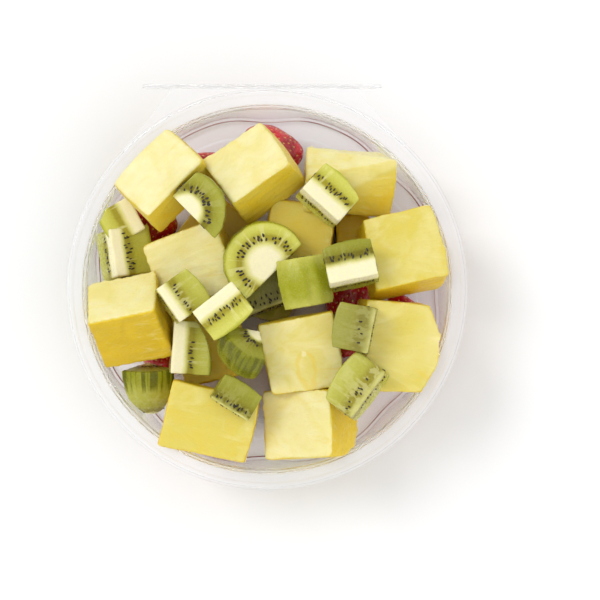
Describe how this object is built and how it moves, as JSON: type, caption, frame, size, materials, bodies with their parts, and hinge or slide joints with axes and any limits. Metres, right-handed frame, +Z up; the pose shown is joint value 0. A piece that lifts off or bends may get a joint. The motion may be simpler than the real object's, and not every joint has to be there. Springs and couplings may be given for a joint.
{
  "type": "fruit salad in a clear hinged bowl",
  "caption": "Clear round plastic bowl with a hinge tab, heaped with blocks of pineapple, wedges of peeled kiwi and strawberries.",
  "frame": {"origin": "middle of the bowl's flat base, on the surface that the bowl stands on", "axes": "+Z up out of the bowl's mouth; +Y towards the hinge strip; +X to the right when the hinge strip is at the back"},
  "size_m": [0.2176, 0.2207, 0.0952],
  "materials": {
    "clear_sheet": "clear, glossy",
    "pineapple_flesh": "moist, satin",
    "kiwi_flesh": "moist, glossy",
    "strawberry_flesh": "moist, glossy"
  },
  "bodies": {
    "root": {"bowl": "clear_sheet", "kiwi_01": "kiwi_flesh", "kiwi_02": "kiwi_flesh", "kiwi_03": "kiwi_flesh", "kiwi_04": "kiwi_flesh", "kiwi_05": "kiwi_flesh", "kiwi_06": "kiwi_flesh", "kiwi_07": "kiwi_flesh", "kiwi_08": "kiwi_flesh", "kiwi_09": "kiwi_flesh", "kiwi_10": "kiwi_flesh", "kiwi_11": "kiwi_flesh", "kiwi_12": "kiwi_flesh", "kiwi_13": "kiwi_flesh", "kiwi_14": "kiwi_flesh", "kiwi_15": "kiwi_flesh", "kiwi_16": "kiwi_flesh", "kiwi_17": "kiwi_flesh", "kiwi_18": "kiwi_flesh", "kiwi_19": "kiwi_flesh", "pineapple_01": "pineapple_flesh", "pineapple_02": "pineapple_flesh", "pineapple_03": "pineapple_flesh", "pineapple_04": "pineapple_flesh", "pineapple_05": "pineapple_flesh", "pineapple_06": "pineapple_flesh", "pineapple_07": "pineapple_flesh", "pineapple_08": "pineapple_flesh", "pineapple_09": "pineapple_flesh", "pineapple_10": "pineapple_flesh", "pineapple_11": "pineapple_flesh", "pineapple_12": "pineapple_flesh", "pineapple_13": "pineapple_flesh", "pineapple_14": "pineapple_flesh", "strawberry_01": "strawberry_flesh", "strawberry_02": "strawberry_flesh", "strawberry_03": "strawberry_flesh", "strawberry_04": "strawberry_flesh", "strawberry_05": "strawberry_flesh", "strawberry_06": "strawberry_flesh", "strawberry_07": "strawberry_flesh", "strawberry_08": "strawberry_flesh", "strawberry_09": "strawberry_flesh", "strawberry_10": "strawberry_flesh", "strawberry_11": "strawberry_flesh", "strawberry_12": "strawberry_flesh", "strawberry_13": "strawberry_flesh"}
  },
  "joints": []
}
